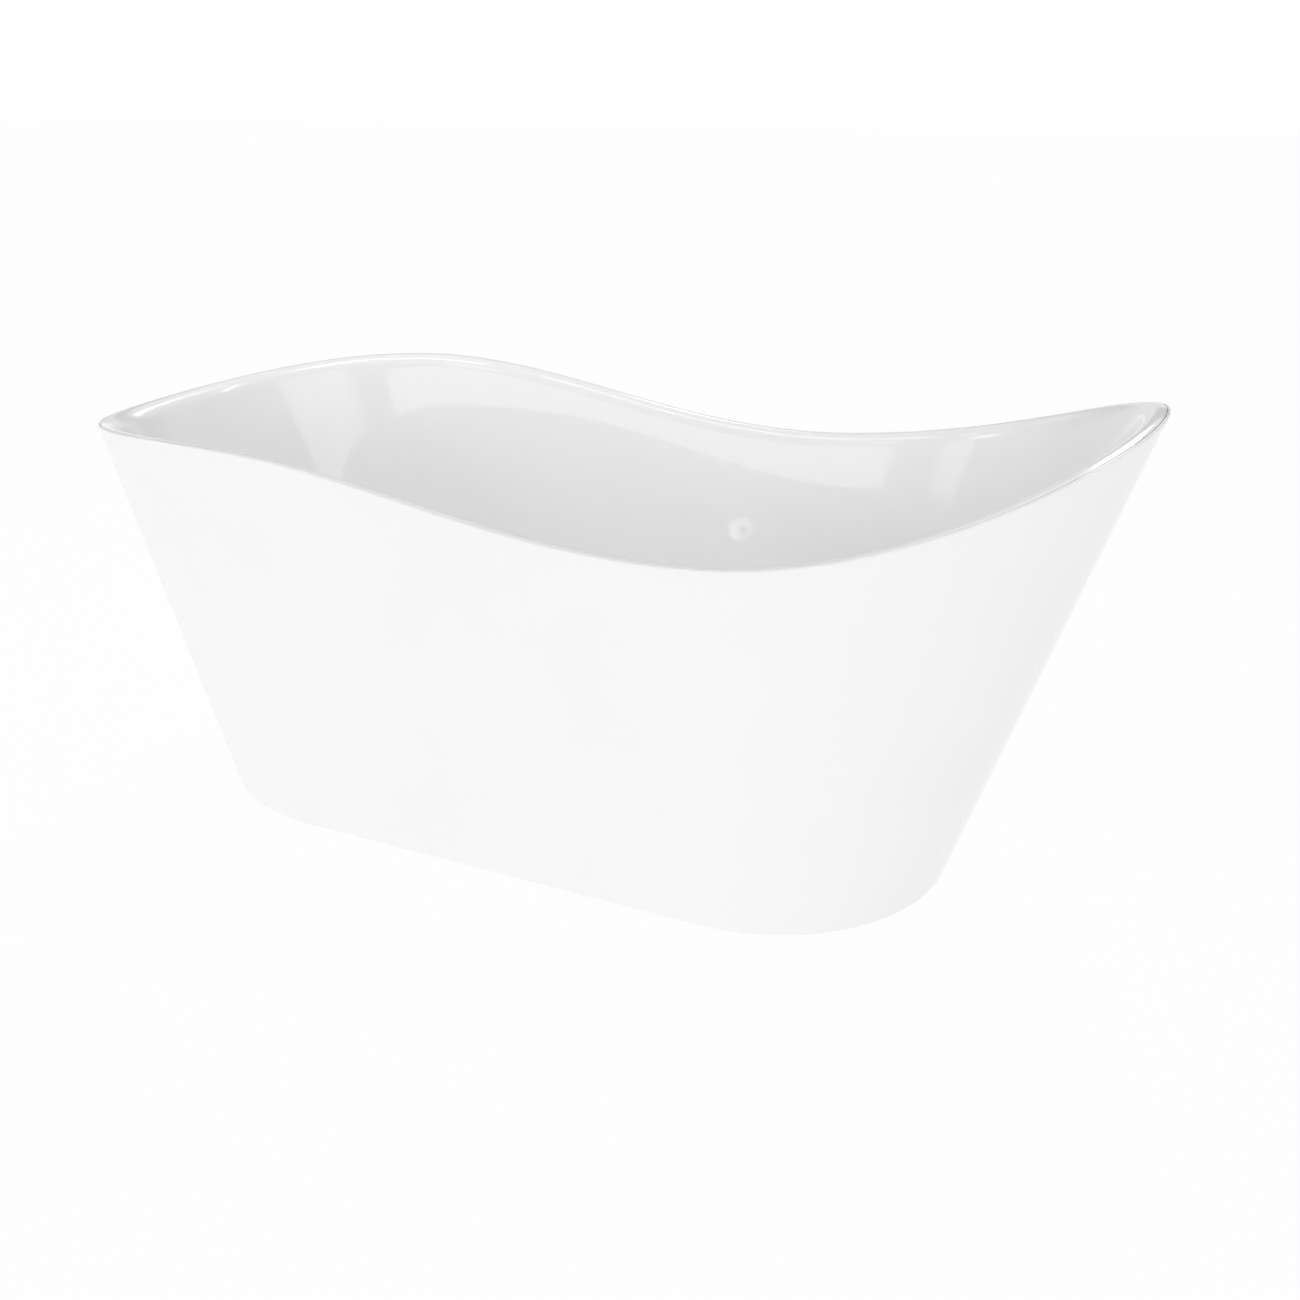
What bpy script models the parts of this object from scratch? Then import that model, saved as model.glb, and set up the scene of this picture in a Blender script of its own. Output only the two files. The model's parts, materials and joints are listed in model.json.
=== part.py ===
"""Freestanding acrylic bathtub with a wave-shaped rim, its frame, levelling feet, waste and overflow.

The tub is two shells. The outer skirt is a rounded rectangle at the floor that flares up to the rim, and
the inner basin is bonded inside the skirt's top edge, along the top of the lip. A board under the basin
stands on two leg bars and four screw feet. The waste, with a push-to-open plug, is at the middle of the
floor over a low trap, and the overflow is in the front wall.

Frame: +X towards the high end, -Y towards the front, +Z up, origin on the floor under the middle.
"""

import math

import bmesh
import bpy
from mathutils import Euler, Vector

NAME = "freestanding_bathtub"
GAP = 0.0003

# Outer skirt at the floor, and how much each dimension grows per metre of height
BASE_HALF_LENGTH = 0.646
BASE_HALF_WIDTH = 0.336
BASE_CORNER_LENGTH = 0.306
BASE_CORNER_WIDTH = 0.2915
LEFT_FLARE = 0.351
RIGHT_FLARE = 0.284
SIDE_FLARE = 0.040
CORNER_LENGTH_GROWTH = 0.256
CORNER_WIDTH_GROWTH = 0.093
SKIRT_THICKNESS = 0.0045
SKIRT_CLEARANCE = 0.003

# Rim wave: heights of the left tip, the hump, the dip and the right tip, and where they are along X
HALF_LENGTH = 0.850
LEFT_TIP_HEIGHT = 0.5875
HUMP_HEIGHT = 0.634
DIP_HEIGHT = 0.557
RIGHT_TIP_HEIGHT = 0.7275
HUMP_X = -0.440
DIP_X = 0.249

# Lip, outside to inside: the skirt's rounded edge, the joint, the basin's flat edge and its inner rounding.
# The skirt's inner face is upright behind the basin's edge, down to the end of the rebate.
BASIN_THICKNESS = 0.006
LIP_OUTER_RADIUS = 0.0025
LIP_OUTER_STEPS = 2
LIP_JOINT = 0.0006
LIP_FLAT_END = 0.0075
LIP_INNER_RADIUS = 0.024
LIP_INNER_STEPS = 4
REBATE_DEPTH = 0.0066
REBATE_END = 0.011
BASIN_EDGE = SKIRT_THICKNESS + LIP_JOINT
WALL_INSET = LIP_FLAT_END + LIP_INNER_RADIUS

# Basin floor: where the straight walls would meet it, and the round between them
FLOOR_HEIGHT = 0.150
FLOOR_LEFT = 0.600
FLOOR_RIGHT = 0.560
FLOOR_HALF_WIDTH = 0.240
FLOOR_CORNER_LENGTH = 0.220
FLOOR_CORNER_WIDTH = 0.180
FLOOR_ROUND = 0.085
FLOOR_ROUND_STEPS = 4

# Stations round an outline
CORNER_STEPS = 11
SIDE_STEPS = 8

# Base board and leg bars
BOARD_LENGTH = 0.940
BOARD_WIDTH = 0.350
BOARD_THICKNESS = 0.018
BOARD_CORNER = 0.060
BOARD_OPENING = 0.066
BAR_X = 0.400
BAR_LENGTH = 0.540
BAR_WIDTH = 0.040
BAR_DEPTH = 0.025
BAR_SHEET = 0.0025
BAR_SCREW_Y = 0.120
SCREW_HOLE = 0.0026
SCREW_SHANK = 0.0023
SCREW_HEAD = 0.0050
SCREW_HEAD_HEIGHT = 0.003
SCREW_BITE = 0.014
SCREW_POINT = 0.002

# Levelling feet
FOOT_Y = 0.235
STUD_RADIUS = 0.005
STUD_HOLE = 0.006
STUD_START = 0.0045
STUD_END = 0.150
HEXAGON_RADIUS = 0.0082
HEXAGON_START = 0.022
HEXAGON_HEIGHT = 0.008
NUT_RADIUS = 0.0098
NUT_BORE = 0.0053
NUT_HEIGHT = 0.008
PAD_RADIUS = 0.026
PAD_HEIGHT = 0.012
PAD_BOSS_RADIUS = 0.014
PAD_BOSS_HEIGHT = 0.018
PAD_SOCKET_RADIUS = 0.0056
PAD_SOCKET_FLOOR = 0.0042
PAD_BEVEL = 0.003

# Waste fitting, on the Z axis
WASTE_HOLE = 0.026
WASTE_TUBE_OUTER = 0.0238
WASTE_TUBE_INNER = 0.0212
WASTE_THREAD_BORE = 0.0242
WASTE_TUBE_END = 0.116
FLANGE_RADIUS = 0.0355
FLANGE_BEVEL = 0.001
FLANGE_EDGE_HEIGHT = 0.0025
FLANGE_HEIGHT = 0.0029
FLANGE_CREST = 0.0285
MOUTH_DEPTH = 0.004
CROSSBAR_WIDTH = 0.010
CROSSBAR_BITE = 0.001
CROSSBAR_RISE = 0.0004
CARTRIDGE_HOLE = 0.0034
SEAL_THICKNESS = 0.0015
LOWER_SEAL_THICKNESS = 0.003
BACK_NUT_HEIGHT = 0.012
BACK_NUT_RADIUS = 0.036
BODY_RADIUS = 0.029
BODY_LEDGE = 0.113
BODY_SHOULDER = 0.080
BODY_END = 0.072
BODY_SPIGOT_OUTER = 0.0235
BODY_SPIGOT_INNER = 0.0205
BRANCH_HEIGHT = 0.098
BRANCH_OUTER = 0.0145
BRANCH_INNER = 0.0115
BRANCH_START = 0.004
BRANCH_END = 0.064

# Push-to-open plug
PLUG_RADIUS = 0.0305
PLUG_THICKNESS = 0.0034
PLUG_DOME = ((0.55, 0.0003), (0.86, 0.0010), (1.0, 0.0024))
PLUG_UNDERCUT = 0.0006
PLUG_SEAL_RADIUS = 0.028
PLUG_SEAL_BORE = 0.0045
STEM_RADIUS = 0.003
STEM_END = 0.123
COLLAR_RADIUS = 0.0062
COLLAR_HEIGHT = 0.1385
COLLAR_THICKNESS = 0.0015
CARTRIDGE_OUTER = 0.0080
CARTRIDGE_BORE = 0.0067
CARTRIDGE_BASE = 0.1195
CARTRIDGE_TOP = 0.1510
CARTRIDGE_FLOOR = CARTRIDGE_BASE + 0.0012
CARTRIDGE_PEG = 0.003
CARTRIDGE_FOOT = 0.0006
SPRING_RADIUS = 0.0053
SPRING_WIRE = 0.0005
SPRING_TURNS = 5
SPRING_POINTS = 9

# Trap under the waste
TRAP_RADIUS = 0.045
TRAP_BOTTOM = 0.008
TRAP_SHOULDER = 0.050
TRAP_NECK_TOP = 0.0715
TRAP_NECK_FOOT = 0.056
TRAP_WALL = 0.003
TRAP_BEVEL = 0.005
UNION_NUT_BOTTOM = 0.0605
NUT_WALL = 0.006
TRAP_OUTLET_HEIGHT = 0.031
TRAP_OUTLET_OUTER = 0.0205
TRAP_OUTLET_INNER = 0.0175
TRAP_OUTLET_START = 0.035
TRAP_OUTLET_END = 0.090
OUTLET_NUT_HALF_LENGTH = 0.009
OUTLET_NUT_SETBACK = 0.012
DIP_TUBE_OUTER = 0.0190
DIP_TUBE_INNER = 0.0170
DIP_TUBE_END = 0.022

# Overflow in the front wall
OVERFLOW_HEIGHT = 0.430
OVERFLOW_HOLE = 0.0225
OVERFLOW_GAP = 0.0006
COVER_RADIUS = 0.034
COVER_DEPTH = 0.009
COVER_WALL = 0.002
COVER_BEVEL = 0.001
COVER_SHOULDER = 0.004
COVER_SHOULDER_DROP = 0.003
COVER_SLOT = (0.036, 0.020, 0.008)
COVER_SLOT_HEIGHT = 0.002
COVER_SCREW_RADIUS = 0.0025
COVER_SCREW_BITE = 0.012
COVER_SCREW_HEAD = 0.0045
COVER_SCREW_DOME = 0.001
GASKET_THICKNESS = 0.0025
ELBOW_RADIUS = 0.033
ELBOW_FLANGE = 0.003
ELBOW_CHAMBER = 0.0215
ELBOW_DEPTH = 0.0235
ELBOW_WALL = 0.0025
ELBOW_POST = 0.005
ELBOW_SPIGOT_LENGTH = 0.052
ELBOW_SPIGOT_OFFSET = 0.001
ELBOW_SPIGOT_WALL = 0.002
ELBOW_BORE_START = 0.012
PIPE_OUTER = 0.0110
PIPE_WALL = 0.0015
PIPE_NUT_RADIUS = 0.0200
PIPE_NUT_LENGTH = 0.016
PIPE_NUT_WALL = 0.0035
PIPE_NUT_TAPER = 0.001
LOWER_NUT_SETBACK = 0.006
UPPER_NUT_SETBACK = 0.004

# Colour, roughness and metallic value of each finish
FINISHES = {
    "white_acrylic": ((0.92, 0.92, 0.93), 0.12, 0.0),
    "waterproof_board": ((0.55, 0.43, 0.28), 0.75, 0.0),
    "galvanised_steel": ((0.62, 0.64, 0.66), 0.45, 1.0),
    "zinc_plated_steel": ((0.72, 0.72, 0.70), 0.32, 1.0),
    "chrome": ((0.86, 0.87, 0.88), 0.08, 1.0),
    "brass": ((0.78, 0.62, 0.32), 0.28, 1.0),
    "spring_steel": ((0.55, 0.56, 0.58), 0.30, 1.0),
    "black_rubber": ((0.04, 0.04, 0.04), 0.80, 0.0),
    "white_plastic": ((0.86, 0.86, 0.84), 0.45, 0.0),
    "dark_plastic": ((0.10, 0.10, 0.11), 0.50, 0.0),
}


# ---------------------------------------------------------------- scene and object helpers

def clear_scene():
    for item in list(bpy.data.objects):
        bpy.data.objects.remove(item, do_unlink=True)


def new_collection(name):
    collection = bpy.data.collections.new(name)
    bpy.context.scene.collection.children.link(collection)
    return collection


def new_material(name, finish):
    colour, roughness, metallic = FINISHES[finish]
    material = bpy.data.materials.new(name + "_" + finish)
    material.use_nodes = True
    shader = material.node_tree.nodes["Principled BSDF"]
    shader.inputs["Base Color"].default_value = (*colour, 1.0)
    shader.inputs["Roughness"].default_value = roughness
    shader.inputs["Metallic"].default_value = metallic
    material.diffuse_color = (*colour, 1.0)
    return material


def place(name, data, finish, location=(0, 0, 0), rotation=(0, 0, 0), parent=None):
    """Add a named part with its own material."""
    part = bpy.data.objects.new(name, data)
    part.data.materials.append(new_material(name, finish))
    part.location = location
    part.rotation_euler = rotation
    part.parent = parent
    PARTS.objects.link(part)
    return part


def joint_empty(name, location, rotation=(0, 0, 0)):
    empty = bpy.data.objects.new(name, None)
    empty.location = location
    empty.rotation_euler = rotation
    PARTS.objects.link(empty)
    return empty


def smooth(part, angle=40):
    part.data.shade_smooth()
    part.data.set_sharp_from_angle(angle=math.radians(angle))


def cylinder_mesh(name, radius, depth, segments):
    mesh = bpy.data.meshes.new(name)
    body = bmesh.new()
    bmesh.ops.create_cone(body, cap_ends=True, segments=segments, radius1=radius, radius2=radius, depth=depth)
    body.to_mesh(mesh)
    body.free()
    return mesh


def box_mesh(name, size):
    mesh = bpy.data.meshes.new(name)
    body = bmesh.new()
    bmesh.ops.create_cube(body, size=1.0)
    bmesh.ops.scale(body, vec=size, verts=body.verts)
    body.to_mesh(mesh)
    body.free()
    return mesh


def combine(part, mesh, location=(0, 0, 0), rotation=(0, 0, 0), operation="DIFFERENCE", parent=None):
    """Cut a shape out of a part, or join it on. The location is in the parent's frame."""
    cutter = bpy.data.objects.new(part.name + "_cutter", mesh)
    cutter.location = location
    cutter.rotation_euler = rotation
    cutter.parent = parent
    cutter.hide_render = True
    cutter.display_type = "WIRE"
    CUTTERS.objects.link(cutter)
    modifier = part.modifiers.new("combine", "BOOLEAN")
    modifier.operation = operation
    modifier.solver = "EXACT"
    modifier.object = cutter


def turned(name, profile, finish, segments=24, closed=True, **placing):
    """A turned part. The profile of (radius, height) runs down the outer side first."""
    mesh = bpy.data.meshes.new(name)
    body = bmesh.new()
    points = [body.verts.new((radius, 0, height)) for radius, height in profile]
    for first, second in zip(points, points[1:]):
        body.edges.new((first, second))
    if closed:
        body.edges.new((points[-1], points[0]))
    body.to_mesh(mesh)
    body.free()
    part = place(name, mesh, finish, **placing)
    screw = part.modifiers.new("turn", "SCREW")
    screw.angle = math.tau
    screw.steps = segments
    screw.render_steps = segments
    screw.use_merge_vertices = True
    screw.merge_threshold = 0.00005
    screw.use_smooth_shade = True
    return part


def ring(name, inner, outer, bottom, top, finish, segments=24, **placing):
    profile = [(outer, top), (outer, bottom), (inner, bottom), (inner, top)]
    return turned(name, profile, finish, segments, **placing)


def clear_bore(radius, segments):
    """Radius of a faceted bore whose flats clear a shaft."""
    return (radius + GAP) / math.cos(math.pi / segments)


def circle_points(radius, count, centre=(0, 0)):
    angles = [math.tau * step / count for step in range(count)]
    return [(centre[0] + radius * math.cos(angle), centre[1] + radius * math.sin(angle)) for angle in angles]


def plate(name, outline, holes, thickness, finish, **placing):
    """A flat part: a filled 2D curve with holes, as thick as it says, about its middle plane."""
    curve = bpy.data.curves.new(name, "CURVE")
    curve.dimensions = "2D"
    curve.fill_mode = "BOTH"
    curve.extrude = thickness / 2
    for points in [outline] + holes:
        spline = curve.splines.new("POLY")
        spline.points.add(len(points) - 1)
        for target, (x, y) in zip(spline.points, points):
            target.co = (x, y, 0, 1)
        spline.use_cyclic_u = True
    return place(name, curve, finish, **placing)


# ---------------------------------------------------------------- shape of the two shells

def stations():
    """Stations round a rounded rectangle, anticlockwise from the right end.

    Each is (share, across, side, along): how far the straight part of the long side it is, from 0 at
    the left to 1 at the right, and where it is on its elliptical corner.
    """
    result = []
    for quarter, share, side in ((0, 1, 1), (1, 0, 1), (2, 0, -1), (3, 1, -1)):
        for step in range(CORNER_STEPS + 1):
            angle = (quarter + step / CORNER_STEPS) * math.pi / 2
            result.append((share, math.cos(angle), side, abs(math.sin(angle))))
        if quarter in (0, 2):
            for step in range(1, SIDE_STEPS):
                travelled = step / SIDE_STEPS
                result.append((1 - travelled if quarter == 0 else travelled, 0.0, side, 1.0))
    return result


def station_point(station, section):
    share, across, side, along = station
    left, right, half_width, corner_length, corner_width = section
    straight_left = corner_length - left
    straight_right = right - corner_length
    x = straight_left + share * (straight_right - straight_left) + corner_length * across
    y = side * (half_width - corner_width + corner_width * along)
    return x, y


def skirt_section(height, inset=0.0):
    """The outer outline at a height, moved inwards by the inset."""
    return (
        BASE_HALF_LENGTH + LEFT_FLARE * height - inset,
        BASE_HALF_LENGTH + RIGHT_FLARE * height - inset,
        BASE_HALF_WIDTH + SIDE_FLARE * height - inset,
        BASE_CORNER_LENGTH + CORNER_LENGTH_GROWTH * height - inset,
        BASE_CORNER_WIDTH + CORNER_WIDTH_GROWTH * height - inset,
    )


def rim_height(x):
    """Height of the rim above the floor: a cosine from the hump to the dip, parabolas beyond them."""
    if x < HUMP_X:
        share = (HUMP_X - x) / (HUMP_X + HALF_LENGTH)
        return HUMP_HEIGHT + (LEFT_TIP_HEIGHT - HUMP_HEIGHT) * share ** 2
    if x > DIP_X:
        share = (x - DIP_X) / (HALF_LENGTH - DIP_X)
        return DIP_HEIGHT + (RIGHT_TIP_HEIGHT - DIP_HEIGHT) * share ** 2
    share = (x - HUMP_X) / (DIP_X - HUMP_X)
    return HUMP_HEIGHT + (DIP_HEIGHT - HUMP_HEIGHT) * (1 - math.cos(math.pi * share)) / 2


def crest_height(station):
    """Height at which the flaring skirt line of a station meets the rim wave."""
    height = DIP_HEIGHT
    for _ in range(40):
        x, _y = station_point(station, skirt_section(height))
        height = (height + rim_height(x)) / 2
    return height


def lip_point(station, crest, inset, drop):
    x, y = station_point(station, skirt_section(crest - drop, inset))
    return Vector((x, y, crest - drop))


def floor_corner(station):
    """The point where a station's straight wall would meet the floor."""
    section = (FLOOR_LEFT, FLOOR_RIGHT, FLOOR_HALF_WIDTH, FLOOR_CORNER_LENGTH, FLOOR_CORNER_WIDTH)
    x, y = station_point(station, section)
    return Vector((x, y, FLOOR_HEIGHT))


def lip_profile(station, corner):
    """The basin's part of the lip at one station, from its edge to where the wall starts."""
    crest = crest_height(station)
    points = [lip_point(station, crest, BASIN_EDGE, 0.0)]
    wall = lip_point(station, crest, WALL_INSET, LIP_INNER_RADIUS) - corner
    turn = math.atan2(wall.z, wall.xy.length)
    for step in range(LIP_INNER_STEPS + 1):
        angle = turn * step / LIP_INNER_STEPS
        inset = LIP_FLAT_END + LIP_INNER_RADIUS * math.sin(angle)
        points.append(lip_point(station, crest, inset, LIP_INNER_RADIUS * (1 - math.cos(angle))))
    return points


def basin_column(station):
    """The bathing surface at one station: lip, straight wall and the round into the floor."""
    corner = floor_corner(station)
    points = lip_profile(station, corner)
    up_wall = (points[-1] - corner).normalized()
    inwards = Vector((-corner.x * FLOOR_HALF_WIDTH / FLOOR_RIGHT, -corner.y, 0)).normalized()
    wall_end = corner + up_wall * FLOOR_ROUND
    floor_start = corner + inwards * FLOOR_ROUND
    points.append((points[-1] + wall_end) / 2)
    for step in range(FLOOR_ROUND_STEPS + 1):
        share = step / FLOOR_ROUND_STEPS
        upper = wall_end.lerp(corner, share)
        lower = corner.lerp(floor_start, share)
        points.append(upper.lerp(lower, share))
    return points


def skirt_loop(station):
    """The skirt's closed outline at one station: up the outside, over the edge and down the inside."""
    crest = crest_height(station)
    to_floor = crest - SKIRT_CLEARANCE
    points = [lip_point(station, crest, 0.0, to_floor)]
    for step in range(LIP_OUTER_STEPS + 1):
        angle = math.pi / 2 * step / LIP_OUTER_STEPS
        inset = LIP_OUTER_RADIUS * (1 - math.cos(angle))
        points.append(lip_point(station, crest, inset, LIP_OUTER_RADIUS * (1 - math.sin(angle))))
    edge = lip_point(station, crest, SKIRT_THICKNESS, 0.0)
    points.append(edge)
    points.append(edge - Vector((0, 0, REBATE_DEPTH)))
    points.append(lip_point(station, crest, SKIRT_THICKNESS, REBATE_END))
    points.append(lip_point(station, crest, SKIRT_THICKNESS, to_floor))
    return points


def lofted_mesh(name, columns, closed=False):
    """A surface through columns of points that go round the tub.

    Closed columns are loops. Open ones get their last ring filled.
    """
    mesh = bpy.data.meshes.new(name)
    body = bmesh.new()
    grid = [[body.verts.new(point) for point in column] for column in columns]
    rows = len(columns[0])
    for this, following in zip(grid, grid[1:] + grid[:1]):
        for row in range(rows if closed else rows - 1):
            above = (row + 1) % rows
            body.faces.new((this[row], following[row], following[above], this[above]))
    if not closed:
        body.faces.new([column[-1] for column in grid])
    body.to_mesh(mesh)
    body.free()
    return mesh


def solidify(part, thickness):
    modifier = part.modifiers.new("thickness", "SOLIDIFY")
    modifier.thickness = thickness
    modifier.offset = -1
    modifier.use_even_offset = True


def front_wall_point(x, height):
    """A point on the straight front wall of the basin."""
    crest = rim_height(x)
    top = crest - LIP_INNER_RADIUS
    top_y = BASE_HALF_WIDTH + SIDE_FLARE * top - WALL_INSET
    share = (height - FLOOR_HEIGHT) / (top - FLOOR_HEIGHT)
    return Vector((x, -FLOOR_HALF_WIDTH - share * (top_y - FLOOR_HALF_WIDTH), height))


def front_wall():
    """Point on the front wall at the overflow, and the turn that faces +Z into the tub with +Y up."""
    step = 0.02
    point = front_wall_point(0, OVERFLOW_HEIGHT)
    along = front_wall_point(step, OVERFLOW_HEIGHT) - front_wall_point(-step, OVERFLOW_HEIGHT)
    upwards = front_wall_point(0, OVERFLOW_HEIGHT + step) - front_wall_point(0, OVERFLOW_HEIGHT - step)
    return point, upwards.cross(along).to_track_quat("Z", "Y").to_euler()


# ---------------------------------------------------------------- sub-parts

def make_shells(overflow_frame):
    outline = stations()
    loops = [skirt_loop(item) for item in outline]
    smooth(place("outer_skirt", lofted_mesh("outer_skirt", loops, closed=True), "white_acrylic"))
    columns = [basin_column(item) for item in outline]
    basin = place("inner_basin", lofted_mesh("inner_basin", columns), "white_acrylic")
    solidify(basin, BASIN_THICKNESS)
    smooth(basin)
    combine(basin, cylinder_mesh("waste_hole", WASTE_HOLE, 0.05, 32), (0, 0, FLOOR_HEIGHT))
    combine(basin, cylinder_mesh("overflow_hole", OVERFLOW_HOLE, 0.04, 32), parent=overflow_frame)


def board_top():
    return FLOOR_HEIGHT - BASIN_THICKNESS - GAP


def bar_top():
    return board_top() - BOARD_THICKNESS - GAP


def make_board():
    half_length = BOARD_LENGTH / 2 - BOARD_CORNER
    half_width = BOARD_WIDTH / 2 - BOARD_CORNER
    outline = []
    for quarter, (x, y) in enumerate(((1, 1), (-1, 1), (-1, -1), (1, -1))):
        for step in range(7):
            angle = (quarter + step / 6) * math.pi / 2
            outline.append((x * half_length + BOARD_CORNER * math.cos(angle),
                            y * half_width + BOARD_CORNER * math.sin(angle)))
    holes = [circle_points(BOARD_OPENING, 32)]
    for x in (-BAR_X, BAR_X):
        for y in (-BAR_SCREW_Y, BAR_SCREW_Y):
            holes.append(circle_points(SCREW_HOLE, 12, (x, y)))
    middle = board_top() - BOARD_THICKNESS / 2
    plate("base_board", outline, holes, BOARD_THICKNESS, "waterproof_board", location=(0, 0, middle))


def make_leg_bar(side, x):
    top = bar_top()
    bar = place("leg_bar_" + side, box_mesh("leg_bar", (BAR_WIDTH, BAR_LENGTH, BAR_DEPTH)),
                "galvanised_steel", location=(x, 0, top - BAR_DEPTH / 2))
    hollow = box_mesh("channel", (BAR_WIDTH - 2 * BAR_SHEET, BAR_LENGTH + 0.01, BAR_DEPTH))
    combine(bar, hollow, (x, 0, top - BAR_SHEET - BAR_DEPTH / 2))
    for y in (-FOOT_Y, FOOT_Y):
        combine(bar, cylinder_mesh("stud_hole", STUD_HOLE, 0.02, 20), (x, y, top))
    for y in (-BAR_SCREW_Y, BAR_SCREW_Y):
        combine(bar, cylinder_mesh("screw_hole", SCREW_HOLE, 0.02, 12), (x, y, top))


def make_board_screw(side, place_name, x, y):
    """A pan-head screw from under the leg bar's web up into the board."""
    head_top = bar_top() - BAR_SHEET - GAP
    tip = bar_top() + SCREW_BITE
    head_end = head_top - SCREW_HEAD_HEIGHT
    profile = [(0, tip), (SCREW_SHANK, tip - SCREW_POINT), (SCREW_SHANK, head_top), (SCREW_HEAD, head_top),
               (SCREW_HEAD, (head_top + head_end) / 2), (SCREW_HEAD * 0.7, head_end), (0, head_end)]
    turned("board_screw_" + side + "_" + place_name, profile, "zinc_plated_steel", 12, closed=False,
           location=(x, y, 0))


def make_foot(name, x, y):
    """A pad, a threaded stud with a hexagon to turn it by, and a lock nut each side of the leg bar."""
    axis = joint_empty(name + "_axis", (x, y, 0))
    pad = [(0, PAD_SOCKET_FLOOR), (PAD_SOCKET_RADIUS, PAD_SOCKET_FLOOR), (PAD_SOCKET_RADIUS, PAD_BOSS_HEIGHT),
           (PAD_BOSS_RADIUS, PAD_BOSS_HEIGHT), (PAD_BOSS_RADIUS, PAD_HEIGHT),
           (PAD_RADIUS - PAD_BEVEL, PAD_HEIGHT), (PAD_RADIUS, PAD_HEIGHT - PAD_BEVEL), (PAD_RADIUS, 0), (0, 0)]
    turned(name + "_pad", pad, "dark_plastic", 20, closed=False, parent=axis)
    length = STUD_END - STUD_START
    stud = place(name + "_stud", cylinder_mesh("stud", STUD_RADIUS, length, 20), "zinc_plated_steel",
                 location=(0, 0, STUD_START + length / 2), parent=axis)
    hexagon_middle = HEXAGON_START + HEXAGON_HEIGHT / 2
    combine(stud, cylinder_mesh("hexagon", HEXAGON_RADIUS, HEXAGON_HEIGHT, 6), (0, 0, hexagon_middle),
            operation="UNION", parent=axis)
    lower = bar_top() - BAR_SHEET - GAP - NUT_HEIGHT / 2
    upper = bar_top() + GAP + NUT_HEIGHT / 2
    for level, height in (("lower", lower), ("upper", upper)):
        plate(name + "_nut_" + level, circle_points(NUT_RADIUS, 6), [circle_points(NUT_BORE, 20)], NUT_HEIGHT,
              "zinc_plated_steel", location=(0, 0, height), parent=axis)


def make_feet():
    for side, x in (("left", -BAR_X), ("right", BAR_X)):
        make_leg_bar(side, x)
        for depth, sign in (("front", -1), ("back", 1)):
            make_board_screw(side, depth, x, sign * BAR_SCREW_Y)
            make_foot("foot_" + depth + "_" + side, x, sign * FOOT_Y)


def flange_bottom():
    return FLOOR_HEIGHT + GAP + SEAL_THICKNESS + GAP


def make_waste():
    """The flange and tube clamped through the basin floor, and the body screwed on below."""
    under = flange_bottom()
    profile = [(FLANGE_RADIUS - FLANGE_BEVEL, under + FLANGE_EDGE_HEIGHT),
               (FLANGE_RADIUS, under + FLANGE_BEVEL), (FLANGE_RADIUS, under), (WASTE_TUBE_OUTER, under),
               (WASTE_TUBE_OUTER, WASTE_TUBE_END), (WASTE_TUBE_INNER, WASTE_TUBE_END), (WASTE_TUBE_INNER, under - MOUTH_DEPTH),
               (WASTE_TUBE_OUTER - FLANGE_BEVEL, under), (FLANGE_CREST, under + FLANGE_HEIGHT)]
    flange = turned("waste_flange", profile, "chrome")
    bar_top_height = CARTRIDGE_BASE - GAP
    bar_height = bar_top_height - WASTE_TUBE_END - CROSSBAR_RISE
    bar_middle = bar_top_height - bar_height / 2
    crossbar = box_mesh("crossbar", (2 * (WASTE_TUBE_INNER + CROSSBAR_BITE), CROSSBAR_WIDTH, bar_height))
    combine(flange, crossbar, (0, 0, bar_middle), operation="UNION")
    combine(flange, cylinder_mesh("cartridge_hole", CARTRIDGE_HOLE, 0.01, 16), (0, 0, bar_middle))

    seal_bottom = FLOOR_HEIGHT + GAP
    ring("waste_seal_upper", WASTE_HOLE, FLANGE_RADIUS - FLANGE_BEVEL, seal_bottom,
         seal_bottom + SEAL_THICKNESS, "black_rubber")
    seal_top = FLOOR_HEIGHT - BASIN_THICKNESS - GAP
    nut_top = seal_top - LOWER_SEAL_THICKNESS - GAP
    ring("waste_seal_lower", WASTE_THREAD_BORE, BACK_NUT_RADIUS, seal_top - LOWER_SEAL_THICKNESS, seal_top,
         "black_rubber")
    plate("waste_back_nut", circle_points(BACK_NUT_RADIUS, 8), [circle_points(WASTE_THREAD_BORE, 32)],
          BACK_NUT_HEIGHT, "brass", location=(0, 0, nut_top - BACK_NUT_HEIGHT / 2))
    make_waste_body(nut_top - BACK_NUT_HEIGHT - GAP)


def make_waste_body(top):
    """The plastic body: a stepped tube with a branch towards the front for the overflow pipe."""
    shell = [(BODY_RADIUS, top), (BODY_RADIUS, BODY_SHOULDER), (BODY_SPIGOT_OUTER, BODY_SHOULDER),
             (BODY_SPIGOT_OUTER, BODY_END), (0, BODY_END)]
    body = turned("waste_body", [(0, top)] + shell, "white_plastic", closed=False)
    across = (math.pi / 2, 0, 0)
    length = BRANCH_END - BRANCH_START
    middle = (0, -BRANCH_START - length / 2, BRANCH_HEIGHT)
    combine(body, cylinder_mesh("branch", BRANCH_OUTER, length, 24), middle, across, "UNION")
    bore_middle = (0, -BRANCH_START - length / 2 - 0.006, BRANCH_HEIGHT)
    combine(body, cylinder_mesh("branch_bore", BRANCH_INNER, length, 24), bore_middle, across)
    bore_length = 2 * (top - BODY_END)
    combine(body, cylinder_mesh("bore", BODY_SPIGOT_INNER, bore_length, 32), (0, 0, (top + BODY_END) / 2))
    thread_length = 2 * (top - BODY_LEDGE)
    combine(body, cylinder_mesh("thread_bore", WASTE_THREAD_BORE, thread_length, 32),
            (0, 0, BODY_LEDGE + thread_length / 2))


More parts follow.
